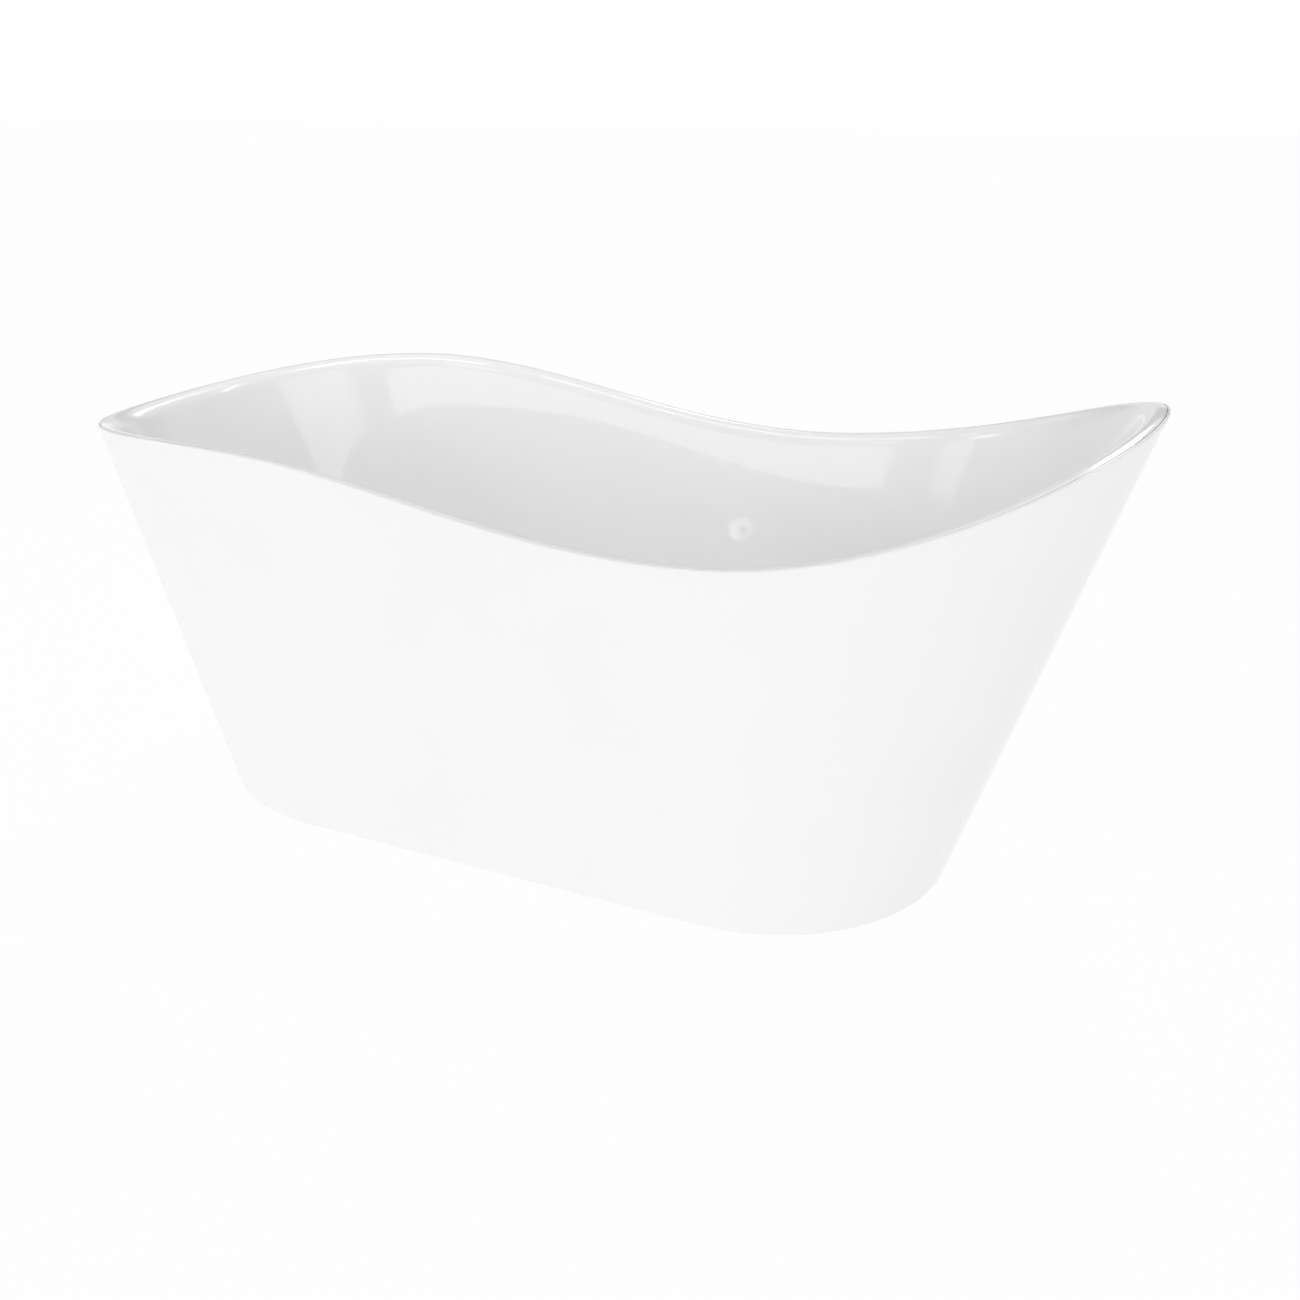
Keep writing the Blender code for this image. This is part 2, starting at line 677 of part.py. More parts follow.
def make_plug():
    """The push-to-open plug: cap, seal and stem move together in the fixed cartridge."""
    seal_bottom = flange_bottom() + FLANGE_HEIGHT + GAP
    seal_top = seal_bottom + SEAL_THICKNESS
    cap_bottom = seal_top + GAP
    cap_top = cap_bottom + PLUG_THICKNESS
    dome = [(PLUG_RADIUS * share, cap_top - drop) for share, drop in PLUG_DOME]
    cap = [(0, cap_top)] + dome + [(PLUG_RADIUS - PLUG_UNDERCUT, cap_bottom), (0, cap_bottom)]
    turned("plug_cap", cap, "chrome", closed=False)
    ring("plug_seal", PLUG_SEAL_BORE, PLUG_SEAL_RADIUS, seal_bottom, seal_top, "black_rubber")
    collar_top = COLLAR_HEIGHT + COLLAR_THICKNESS
    stem = [(0, cap_bottom - GAP), (STEM_RADIUS, cap_bottom - GAP), (STEM_RADIUS, collar_top),
            (COLLAR_RADIUS, collar_top), (COLLAR_RADIUS, COLLAR_HEIGHT), (STEM_RADIUS, COLLAR_HEIGHT),
            (STEM_RADIUS, STEM_END), (0, STEM_END)]
    turned("plug_stem", stem, "brass", 20, closed=False)
    foot = WASTE_TUBE_END + CARTRIDGE_FOOT
    cartridge = [(0, CARTRIDGE_FLOOR), (CARTRIDGE_BORE, CARTRIDGE_FLOOR), (CARTRIDGE_BORE, CARTRIDGE_TOP),
                 (CARTRIDGE_OUTER, CARTRIDGE_TOP), (CARTRIDGE_OUTER, CARTRIDGE_BASE),
                 (CARTRIDGE_PEG, CARTRIDGE_BASE), (CARTRIDGE_PEG, foot), (0, foot)]
    turned("plug_cartridge", cartridge, "brass", 20, closed=False)
    make_spring()


def make_spring():
    """A coil spring round the stem, from the cartridge floor to the collar."""
    low = CARTRIDGE_FLOOR + SPRING_WIRE + GAP
    high = COLLAR_HEIGHT - SPRING_WIRE - GAP
    curve = bpy.data.curves.new("plug_spring", "CURVE")
    curve.dimensions = "3D"
    curve.bevel_depth = SPRING_WIRE
    curve.bevel_resolution = 1
    curve.use_fill_caps = True
    spline = curve.splines.new("POLY")
    count = SPRING_TURNS * SPRING_POINTS
    spline.points.add(count)
    for step in range(count + 1):
        angle = math.tau * step / SPRING_POINTS
        height = low + (high - low) * step / count
        spline.points[step].co = (SPRING_RADIUS * math.cos(angle), SPRING_RADIUS * math.sin(angle), height, 1)
    place("plug_spring", curve, "spring_steel")


def make_trap():
    """A low trap: a cup under the waste body with a dip tube in it and an outlet towards the back."""
    neck_outer = BODY_SPIGOT_OUTER
    cup = [(0, TRAP_NECK_TOP), (neck_outer, TRAP_NECK_TOP), (neck_outer, TRAP_NECK_FOOT),
           (TRAP_RADIUS - 0.006, TRAP_SHOULDER + 0.003), (TRAP_RADIUS, TRAP_SHOULDER - 0.004),
           (TRAP_RADIUS, TRAP_BOTTOM + TRAP_BEVEL), (TRAP_RADIUS - TRAP_BEVEL, TRAP_BOTTOM), (0, TRAP_BOTTOM)]
    trap = turned("trap_cup", cup, "white_plastic", closed=False)
    across = (math.pi / 2, 0, 0)
    length = TRAP_OUTLET_END - TRAP_OUTLET_START
    middle_y = TRAP_OUTLET_START + length / 2
    combine(trap, cylinder_mesh("outlet", TRAP_OUTLET_OUTER, length, 28), (0, middle_y, TRAP_OUTLET_HEIGHT),
            across, "UNION")
    room = TRAP_SHOULDER - TRAP_BOTTOM - 2 * TRAP_WALL
    combine(trap, cylinder_mesh("cup_room", TRAP_RADIUS - TRAP_WALL, room, 32),
            (0, 0, TRAP_BOTTOM + TRAP_WALL + room / 2))
    combine(trap, cylinder_mesh("neck_bore", BODY_SPIGOT_INNER, 0.05, 32), (0, 0, TRAP_SHOULDER + 0.010))
    combine(trap, cylinder_mesh("outlet_bore", TRAP_OUTLET_INNER, length + 0.02, 28),
            (0, middle_y + 0.005, TRAP_OUTLET_HEIGHT), across)
    ring("trap_dip_tube", DIP_TUBE_INNER, DIP_TUBE_OUTER, DIP_TUBE_END, TRAP_NECK_TOP - 0.001,
         "white_plastic", 28)
    ring("trap_union_nut", clear_bore(neck_outer, 16), neck_outer + NUT_WALL, UNION_NUT_BOTTOM,
         BODY_SHOULDER - GAP, "dark_plastic", 16)
    bore = clear_bore(TRAP_OUTLET_OUTER, 16)
    half = OUTLET_NUT_HALF_LENGTH
    ring("trap_outlet_nut", bore, TRAP_OUTLET_OUTER + NUT_WALL, -half, half, "dark_plastic", 16,
         rotation=across, location=(0, TRAP_OUTLET_END - OUTLET_NUT_SETBACK, TRAP_OUTLET_HEIGHT))


def make_overflow(frame):
    """Everything here is on the overflow's own axis: local +Z points through the wall into the tub."""
    front = COVER_DEPTH
    back = OVERFLOW_GAP
    screw_hole = COVER_SCREW_RADIUS + GAP
    inside = COVER_RADIUS - COVER_WALL
    cover = [(screw_hole, front), (COVER_RADIUS - COVER_SHOULDER, front),
             (COVER_RADIUS - COVER_BEVEL, front - COVER_BEVEL), (COVER_RADIUS, front - COVER_SHOULDER_DROP),
             (COVER_RADIUS, back), (inside, back), (inside, front - COVER_WALL - COVER_BEVEL),
             (screw_hole, front - COVER_WALL)]
    part = turned("overflow_cover", cover, "chrome", parent=frame)
    slot_place = (0, -COVER_RADIUS, back + COVER_SLOT_HEIGHT)
    combine(part, box_mesh("inlet_slot", COVER_SLOT), slot_place, parent=frame)

    wall_back = -BASIN_THICKNESS - OVERFLOW_GAP
    ring("overflow_gasket", OVERFLOW_HOLE + 0.001, ELBOW_RADIUS, wall_back - GASKET_THICKNESS, wall_back,
         "black_rubber", parent=frame)
    top = wall_back - GASKET_THICKNESS - GAP
    screw_end = top - COVER_SCREW_BITE
    spigot_depth = make_elbow(frame, top, screw_end)
    head = front + GAP
    screw = [(0, head + 2 * COVER_SCREW_DOME), (COVER_SCREW_HEAD, head + COVER_SCREW_DOME),
             (COVER_SCREW_HEAD, head), (COVER_SCREW_RADIUS, head), (COVER_SCREW_RADIUS, screw_end),
             (0, screw_end)]
    turned("overflow_screw", screw, "chrome", 16, closed=False, parent=frame)
    make_overflow_pipe(frame, spigot_depth)


def make_elbow(frame, top, screw_end):
    """The plastic elbow behind the wall: a flanged chamber, a post for the screw and a spigot down."""
    bottom = top - ELBOW_DEPTH
    wall = ELBOW_CHAMBER + ELBOW_WALL
    profile = [(0, top), (ELBOW_RADIUS, top), (ELBOW_RADIUS, top - ELBOW_FLANGE), (wall, top - ELBOW_FLANGE),
               (wall, bottom), (0, bottom)]
    elbow = turned("overflow_elbow", profile, "white_plastic", closed=False, parent=frame)
    spigot_depth = (top + bottom) / 2 - ELBOW_SPIGOT_OFFSET
    down = (math.pi / 2, 0, 0)
    spigot_radius = PIPE_OUTER + GAP
    combine(elbow, cylinder_mesh("spigot", spigot_radius, ELBOW_SPIGOT_LENGTH, 24),
            (0, -ELBOW_SPIGOT_LENGTH / 2, spigot_depth), down, "UNION", frame)
    combine(elbow, cylinder_mesh("chamber", ELBOW_CHAMBER, ELBOW_DEPTH, 32),
            (0, 0, bottom + ELBOW_WALL + ELBOW_DEPTH / 2), parent=frame)
    combine(elbow, cylinder_mesh("post", ELBOW_POST, ELBOW_DEPTH - 0.002, 16),
            (0, 0, bottom + ELBOW_DEPTH / 2), operation="UNION", parent=frame)
    combine(elbow, cylinder_mesh("spigot_bore", spigot_radius - ELBOW_SPIGOT_WALL, ELBOW_SPIGOT_LENGTH, 24),
            (0, -ELBOW_SPIGOT_LENGTH / 2 - ELBOW_BORE_START, spigot_depth), down, parent=frame)
    bore_length = 0.03
    combine(elbow, cylinder_mesh("screw_bore", COVER_SCREW_RADIUS + GAP, bore_length, 16),
            (0, 0, screw_end - 0.001 + bore_length / 2), parent=frame)
    return spigot_depth


def overflow_route(frame, spigot_depth):
    """Route of the pipe: down between the two shells, under the basin and up to the waste body."""
    matrix = Euler(frame.rotation_euler).to_matrix()
    start = frame.location + matrix @ Vector((0, -ELBOW_SPIGOT_LENGTH - GAP, spigot_depth))
    heading = matrix @ Vector((0, -1, 0))
    end = Vector((0, -BRANCH_END - GAP, BRANCH_HEIGHT))
    return [
        start,
        start + heading * 0.060,
        start + heading * 0.120 + Vector((0, -0.004, 0)),
        Vector((0, start.y + 0.035, 0.185)),
        Vector((0, start.y + 0.085, 0.115)),
        Vector((0, start.y + 0.160, BRANCH_HEIGHT)),
        end,
    ]


def make_overflow_pipe(frame, spigot_depth):
    route = overflow_route(frame, spigot_depth)
    curve = bpy.data.curves.new("pipe_route", "CURVE")
    curve.dimensions = "3D"
    curve.bevel_depth = PIPE_OUTER
    curve.bevel_resolution = 3
    curve.resolution_u = 3
    spline = curve.splines.new("BEZIER")
    spline.bezier_points.add(len(route) - 1)
    for target, point in zip(spline.bezier_points, route):
        target.co = point
        target.handle_left_type = "AUTO"
        target.handle_right_type = "AUTO"
    guide = bpy.data.objects.new("pipe_guide", curve)
    CUTTERS.objects.link(guide)
    bpy.context.view_layer.update()
    evaluated = guide.evaluated_get(bpy.context.evaluated_depsgraph_get())
    mesh = bpy.data.meshes.new_from_object(evaluated)
    bpy.data.objects.remove(guide, do_unlink=True)
    pipe = place("overflow_pipe", mesh, "white_plastic")
    smooth(pipe)
    solidify(pipe, PIPE_WALL)
    across = (math.pi / 2, 0, 0)
    half = PIPE_NUT_LENGTH / 2
    bore = clear_bore(BRANCH_OUTER, 16)
    lower = [(PIPE_NUT_RADIUS - PIPE_NUT_TAPER, half), (PIPE_NUT_RADIUS, -half), (bore, -half), (bore, half)]
    turned("overflow_nut_lower", lower, "dark_plastic", 16, rotation=across,
           location=(0, LOWER_NUT_SETBACK - BRANCH_END, BRANCH_HEIGHT))
    bore = clear_bore(PIPE_OUTER + 2 * GAP, 16)
    ring("overflow_nut_upper", bore, bore + PIPE_NUT_WALL, -half, half, "dark_plastic", 16, parent=frame,
         location=(0, UPPER_NUT_SETBACK - ELBOW_SPIGOT_LENGTH, spigot_depth), rotation=across)


def main():
    wall_point, wall_turn = front_wall()
    overflow_frame = joint_empty("overflow_axis", wall_point, wall_turn)
    make_shells(overflow_frame)
    make_board()
    make_feet()
    make_waste()
    make_plug()
    make_trap()
    make_overflow(overflow_frame)


clear_scene()
PARTS = new_collection(NAME)
CUTTERS = new_collection("cutters")
main()
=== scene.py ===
"""Looks for the freestanding bathtub.

The two acrylic shells are rebuilt as fine surfaces on the CAD's outline and rim wave, and the fittings
that can be seen or handled get finer shapes. Everything else keeps its CAD shape with a better material.
Metres, +X towards the high end, -Y towards the front, +Z up.
"""
import json
import math

import bmesh
import bpy
from mathutils import Matrix, Vector

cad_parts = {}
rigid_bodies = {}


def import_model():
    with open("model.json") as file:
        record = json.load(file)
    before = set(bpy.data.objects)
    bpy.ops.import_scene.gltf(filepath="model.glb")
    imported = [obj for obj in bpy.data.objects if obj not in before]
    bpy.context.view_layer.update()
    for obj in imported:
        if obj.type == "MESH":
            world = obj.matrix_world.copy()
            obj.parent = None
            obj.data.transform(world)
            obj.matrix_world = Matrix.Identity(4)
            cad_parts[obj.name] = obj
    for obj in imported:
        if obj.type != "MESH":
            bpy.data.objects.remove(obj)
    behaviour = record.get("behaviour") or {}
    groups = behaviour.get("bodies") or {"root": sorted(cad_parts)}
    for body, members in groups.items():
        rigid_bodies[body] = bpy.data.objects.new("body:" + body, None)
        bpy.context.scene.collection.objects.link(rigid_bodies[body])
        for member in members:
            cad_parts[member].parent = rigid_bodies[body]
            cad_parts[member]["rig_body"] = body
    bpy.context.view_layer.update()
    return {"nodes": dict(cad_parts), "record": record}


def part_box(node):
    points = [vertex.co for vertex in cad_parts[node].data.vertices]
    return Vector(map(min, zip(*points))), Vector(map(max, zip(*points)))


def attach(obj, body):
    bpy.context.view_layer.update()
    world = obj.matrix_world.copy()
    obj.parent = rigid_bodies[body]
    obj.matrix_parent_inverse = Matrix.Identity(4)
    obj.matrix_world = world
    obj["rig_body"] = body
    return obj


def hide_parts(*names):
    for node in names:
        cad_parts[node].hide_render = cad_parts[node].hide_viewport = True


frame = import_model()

# ---------------------------------------------------------------- shape of the shells, as in the CAD

BASE_HALF_LENGTH = 0.646
BASE_HALF_WIDTH = 0.336
BASE_CORNER_LENGTH = 0.306
BASE_CORNER_WIDTH = 0.2915
LEFT_FLARE = 0.351
RIGHT_FLARE = 0.284
SIDE_FLARE = 0.040
CORNER_LENGTH_GROWTH = 0.256
CORNER_WIDTH_GROWTH = 0.093
SKIRT_THICKNESS = 0.0045
SKIRT_CLEARANCE = 0.003

HALF_LENGTH = 0.850
LEFT_TIP_HEIGHT = 0.5875
HUMP_HEIGHT = 0.634
DIP_HEIGHT = 0.557
RIGHT_TIP_HEIGHT = 0.7275
HUMP_X = -0.440
DIP_X = 0.249

BASIN_THICKNESS = 0.006
LIP_OUTER_RADIUS = 0.0025
LIP_JOINT = 0.0006
LIP_FLAT_END = 0.0075
LIP_INNER_RADIUS = 0.024
REBATE_DEPTH = 0.0066
REBATE_END = 0.011
BASIN_EDGE = SKIRT_THICKNESS + LIP_JOINT
WALL_INSET = LIP_FLAT_END + LIP_INNER_RADIUS
EDGE_ROUND = 0.0004

FLOOR_HEIGHT = 0.150
FLOOR_SECTION = (0.600, 0.560, 0.240, 0.220, 0.180)
FLOOR_ROUND = 0.085
WASTE_HOLE = 0.026
OVERFLOW_HEIGHT = 0.430
OVERFLOW_HOLE = 0.0225
OVERFLOW_DRILL = 0.04

# Fineness of the shells
CORNER_STEPS = 48
SIDE_STEPS = 72
SKIRT_ROWS = 40
WALL_ROWS = 36
OUTER_STEPS = 6
LIP_STEPS = 16
ROUND_STEPS = 18
FLOOR_RINGS = 10
FINE_SEGMENTS = 128
CREST_ROUNDS = 40

MERGE_DISTANCE = 1e-7
TINY_EDGE = 1e-8
SHARP_ANGLE = math.radians(35)


def stations():
    """Stations round a rounded rectangle, anticlockwise from the right end, as in the CAD but finer."""
    result = []
    for quarter, share, side in ((0, 1, 1), (1, 0, 1), (2, 0, -1), (3, 1, -1)):
        long_side = quarter in (0, 2)
        for step in range(CORNER_STEPS if long_side else CORNER_STEPS + 1):
            angle = (quarter + step / CORNER_STEPS) * math.pi / 2
            result.append((share, math.cos(angle), side, abs(math.sin(angle))))
        if long_side:
            for step in range(SIDE_STEPS):
                travelled = step / SIDE_STEPS
                result.append((1 - travelled if quarter == 0 else travelled, 0.0, side, 1.0))
    return result


def station_point(station, section):
    share, across, side, along = station
    left, right, half_width, corner_length, corner_width = section
    straight_left = corner_length - left
    straight_right = right - corner_length
    x = straight_left + share * (straight_right - straight_left) + corner_length * across
    y = side * (half_width - corner_width + corner_width * along)
    return x, y


def skirt_section(height, inset=0.0):
    """The outer outline at a height, moved inwards by the inset."""
    return (
        BASE_HALF_LENGTH + LEFT_FLARE * height - inset,
        BASE_HALF_LENGTH + RIGHT_FLARE * height - inset,
        BASE_HALF_WIDTH + SIDE_FLARE * height - inset,
        BASE_CORNER_LENGTH + CORNER_LENGTH_GROWTH * height - inset,
        BASE_CORNER_WIDTH + CORNER_WIDTH_GROWTH * height - inset,
    )


def rim_height(x):
    """Height of the rim above the floor: a cosine from the hump to the dip, parabolas beyond them."""
    if x < HUMP_X:
        share = (HUMP_X - x) / (HUMP_X + HALF_LENGTH)
        return HUMP_HEIGHT + (LEFT_TIP_HEIGHT - HUMP_HEIGHT) * share ** 2
    if x > DIP_X:
        share = (x - DIP_X) / (HALF_LENGTH - DIP_X)
        return DIP_HEIGHT + (RIGHT_TIP_HEIGHT - DIP_HEIGHT) * share ** 2
    share = (x - HUMP_X) / (DIP_X - HUMP_X)
    return HUMP_HEIGHT + (DIP_HEIGHT - HUMP_HEIGHT) * (1 - math.cos(math.pi * share)) / 2


def crest_height(station):
    """Height at which the flaring skirt line of a station meets the rim wave."""
    height = DIP_HEIGHT
    for _ in range(CREST_ROUNDS):
        x, _y = station_point(station, skirt_section(height))
        height = (height + rim_height(x)) / 2
    return height


def lip_point(station, crest, inset, drop):
    x, y = station_point(station, skirt_section(crest - drop, inset))
    return Vector((x, y, crest - drop))


def basin_column(station):
    """The bathing surface at one station: lip, straight wall, the round into the floor, and the floor."""
    crest = crest_height(station)
    corner = Vector((*station_point(station, FLOOR_SECTION), FLOOR_HEIGHT))
    wall = lip_point(station, crest, WALL_INSET, LIP_INNER_RADIUS) - corner
    turn = math.atan2(wall.z, wall.xy.length)
    points = [lip_point(station, crest, BASIN_EDGE, EDGE_ROUND),
              lip_point(station, crest, BASIN_EDGE + EDGE_ROUND, 0.0)]
    for step in range(LIP_STEPS + 1):
        angle = turn * step / LIP_STEPS
        inset = LIP_FLAT_END + LIP_INNER_RADIUS * math.sin(angle)
        points.append(lip_point(station, crest, inset, LIP_INNER_RADIUS * (1 - math.cos(angle))))
    wall_top = points[-1]
    wall_end = corner + (wall_top - corner).normalized() * FLOOR_ROUND
    points += [wall_top.lerp(wall_end, step / WALL_ROWS) for step in range(1, WALL_ROWS)]
    _left, right, half_width, _length, _width = FLOOR_SECTION
    inwards = Vector((-corner.x * half_width / right, -corner.y, 0)).normalized()
    floor_start = corner + inwards * FLOOR_ROUND
    for step in range(ROUND_STEPS + 1):
        share = step / ROUND_STEPS
        points.append(wall_end.lerp(corner, share).lerp(corner.lerp(floor_start, share), share))
    hole_edge = Vector((*floor_start.xy.normalized() * WASTE_HOLE, FLOOR_HEIGHT))
    points += [floor_start.lerp(hole_edge, (step + 1) / FLOOR_RINGS) for step in range(FLOOR_RINGS)]
    return points


def skirt_loop(station):
    """The skirt's closed outline at one station: up the outside, over the edge and down the inside."""
    crest = crest_height(station)
    shoulder = crest - LIP_OUTER_RADIUS
    to_floor = crest - SKIRT_CLEARANCE
    points = []
    for row in range(SKIRT_ROWS):
        height = SKIRT_CLEARANCE + (shoulder - SKIRT_CLEARANCE) * row / SKIRT_ROWS
        points.append(Vector((*station_point(station, skirt_section(height)), height)))
    for step in range(OUTER_STEPS + 1):
        angle = math.pi / 2 * step / OUTER_STEPS
        inset = LIP_OUTER_RADIUS * (1 - math.cos(angle))
        points.append(lip_point(station, crest, inset, LIP_OUTER_RADIUS * (1 - math.sin(angle))))
    points.append(lip_point(station, crest, SKIRT_THICKNESS - EDGE_ROUND, 0.0))
    edge = lip_point(station, crest, SKIRT_THICKNESS, 0.0)
    points.append(edge - Vector((0, 0, EDGE_ROUND)))
    points.append(edge - Vector((0, 0, REBATE_DEPTH)))
    points.append(lip_point(station, crest, SKIRT_THICKNESS, REBATE_END))
    points.append(lip_point(station, crest, SKIRT_THICKNESS, to_floor))
    return points


def front_wall_point(x, height):
    """A point on the straight front wall of the basin."""
    top = rim_height(x) - LIP_INNER_RADIUS
    top_y = BASE_HALF_WIDTH + SIDE_FLARE * top - WALL_INSET
    half_width = FLOOR_SECTION[2]
    share = (height - FLOOR_HEIGHT) / (top - FLOOR_HEIGHT)
    return Vector((x, -half_width - share * (top_y - half_width), height))


def overflow_matrix():
    """The overflow's own frame: +Z through the wall into the tub, +Y up."""
    step = 0.02
    along = front_wall_point(step, OVERFLOW_HEIGHT) - front_wall_point(-step, OVERFLOW_HEIGHT)
    upwards = front_wall_point(0, OVERFLOW_HEIGHT + step) - front_wall_point(0, OVERFLOW_HEIGHT - step)
    turn = upwards.cross(along).to_track_quat("Z", "Y").to_matrix().to_4x4()
    return Matrix.Translation(front_wall_point(0, OVERFLOW_HEIGHT)) @ turn


# ---------------------------------------------------------------- making pieces

# A nut's corners fall away at the chamfer, from a face a little smaller than its flats
NUT_CHAMFER = math.tan(math.radians(30))
NUT_EDGE = 0.0002
NUT_FACE_SHARE = 0.97
NUT_RELIEF = 0.0005
THREAD_DEPTH_SHARE = 0.6
THREAD_STEEPNESS = 2.6
STUD_CHAMFER = 0.001
CORNER_REACH = 0.45


def grid_mesh(name, columns, loop=False, ring=True):
    """A surface through columns of points. They go round a ring, and each may be a closed loop."""
    mesh = bpy.data.meshes.new(name)
    body = bmesh.new()
    grid = [[body.verts.new(point) for point in column] for column in columns]
    rows = len(columns[0])
    following_columns = grid[1:] + grid[:1] if ring else grid[1:]
    for this, following in zip(grid, following_columns):
        for row in range(rows if loop else rows - 1):
            above = (row + 1) % rows
            body.faces.new((this[row], following[row], following[above], this[above]))
    bmesh.ops.remove_doubles(body, verts=body.verts, dist=MERGE_DISTANCE)
    bmesh.ops.dissolve_degenerate(body, edges=body.edges, dist=TINY_EDGE)
    body.to_mesh(mesh)
    body.free()
    return mesh


def rounded(profile, radius, steps=4, ends=False):
    """A profile with its corners rounded, where its sides leave room."""
    result = []
    count = len(profile)
    for index, point in enumerate(profile):
        if not ends and index in (0, count - 1):
            result.append(Vector(point))
            continue
        here = Vector(point)
        before = Vector(profile[index - 1]) - here
        after = Vector(profile[(index + 1) % count]) - here
        reach = min(radius, before.length * CORNER_REACH, after.length * CORNER_REACH)
        start = here + before.normalized() * reach
        end = here + after.normalized() * reach
        for step in range(steps + 1):
            share = step / steps
            result.append(start.lerp(here, share).lerp(here.lerp(end, share), share))
    return result


def turned_mesh(name, profile, segments=96, loop=True, ribs=0, rib_depth=0.0, rib_radius=0.0):
    """A turned shape from (radius, height) points, outer side first; ribs notch it beyond a radius."""
    columns = []
    for segment in range(segments):
        angle = math.tau * segment / segments
        notch = rib_depth * (0.5 - 0.5 * math.cos(angle * ribs)) if ribs else 0.0
        column = []
        for radius, height in profile:
            reach = radius - notch if radius > rib_radius else radius
            column.append((reach * math.cos(angle), reach * math.sin(angle), height))
        columns.append(column)
    return grid_mesh(name, columns, loop=loop)


def nut_mesh(name, corner_radius, bore, height, sides=6, segments=96):
    """A nut about its middle, with chamfered corners and a countersunk bore."""
    flat = corner_radius * math.cos(math.pi / sides)
    half = height / 2
    columns = []
    for segment in range(segments):
        angle = math.tau * segment / segments
        from_flat = (angle + math.pi / sides) % (math.tau / sides) - math.pi / sides
        side = flat / math.cos(math.pi / sides - abs(from_flat))
        edge = half - max(0.0, side - flat) * NUT_CHAMFER - NUT_EDGE
        profile = [(bore, NUT_RELIEF - half), (bore + NUT_RELIEF, -half), (flat * NUT_FACE_SHARE, -half),
                   (side, -edge), (side, edge),
                   (flat * NUT_FACE_SHARE, half), (bore + NUT_RELIEF, half), (bore, half - NUT_RELIEF)]
        columns.append([(radius * math.cos(angle), radius * math.sin(angle), z) for radius, z in profile])
    return grid_mesh(name, columns, loop=True)


def stud_mesh(name, radius, start, end, pitch, hexagon, segments=24, rows_a_turn=6):
    """A threaded stud with chamfered ends. The hexagon is (corner radius, start, height)."""
    depth = THREAD_DEPTH_SHARE * pitch
    rows = int((end - start) / pitch * rows_a_turn)
    hexagon_radius, hexagon_start, hexagon_height = hexagon
    flat = hexagon_radius * math.cos(math.pi / 6)
    columns = []
    for segment in range(segments):
        angle = math.tau * segment / segments
        side = flat / math.cos((angle + math.pi / 6) % (math.pi / 3) - math.pi / 6)
        column = [(0, 0, start)]
        for row in range(rows + 1):
            height = start + (end - start) * row / rows
            if hexagon_start <= height <= hexagon_start + hexagon_height:
                reach = side
            else:
                phase = ((height - start) / pitch - segment / segments) % 1.0
                groove = depth * max(0.0, 1 - abs(phase - 0.5) * THREAD_STEEPNESS)
                taper = max(0.0, STUD_CHAMFER - (height - start), STUD_CHAMFER - (end - height))
                reach = radius - max(groove, taper)
            column.append((reach * math.cos(angle), reach * math.sin(angle), height))
        columns.append(column + [(0, 0, end)])
    return grid_mesh(name, columns)


def add_piece(name, mesh, look, stands_for, matrix=None):
    """A finished piece: it rides on the body of the CAD node it stands for, and has its material slot."""
    piece = bpy.data.objects.new(name, mesh)
    bpy.context.scene.collection.objects.link(piece)
    if matrix is not None:
        piece.matrix_world = matrix
    mesh.materials.append(LOOKS[look])
    mesh.shade_smooth()
    mesh.set_sharp_from_angle(angle=SHARP_ANGLE)
    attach(piece, frame["nodes"][stands_for]["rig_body"])
    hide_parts(stands_for)
    return piece


def settle(piece):
    """Applies the modifiers, and keeps only real corners sharp."""
    bpy.context.view_layer.update()
    graph = bpy.context.evaluated_depsgraph_get()
    settled = bpy.data.meshes.new_from_object(piece.evaluated_get(graph))
    piece.modifiers.clear()
    piece.data = settled
    settled.shade_smooth()
    settled.set_sharp_from_angle(angle=SHARP_ANGLE)


def solidify(piece, thickness):
    modifier = piece.modifiers.new("thickness", "SOLIDIFY")
    modifier.thickness = thickness
    modifier.offset = -1
    modifier.use_even_offset = True
    settle(piece)


def combine(piece, mesh, matrix, operation):
    """Joins the mesh to a piece with UNION, or takes it away as a hole or a slot with DIFFERENCE."""
    tool = bpy.data.objects.new("tool", mesh)
    tool.matrix_world = matrix
    bpy.context.scene.collection.objects.link(tool)
    modifier = piece.modifiers.new("combined", "BOOLEAN")
    modifier.operation = operation
    modifier.solver = "EXACT"
    modifier.object = tool
    settle(piece)
    bpy.data.objects.remove(tool, do_unlink=True)


def cut(piece, mesh, matrix):
    combine(piece, mesh, matrix, "DIFFERENCE")


def rod_mesh(name, radius, depth, segments=64):
    mesh = bpy.data.meshes.new(name)
    body = bmesh.new()
    bmesh.ops.create_cone(body, cap_ends=True, segments=segments,
                          radius1=radius, radius2=radius, depth=depth)
    body.to_mesh(mesh)
    body.free()
    return mesh


def block_mesh(name, size):
    mesh = bpy.data.meshes.new(name)
    body = bmesh.new()
    bmesh.ops.create_cube(body, size=1.0)
    bmesh.ops.scale(body, vec=size, verts=body.verts)
    body.to_mesh(mesh)
    body.free()
    return mesh


# ---------------------------------------------------------------- materials

DARK_SHARE = 0.3
LIGHT_SHARE = 0.7
GRAIN_HEIGHT = 0.001


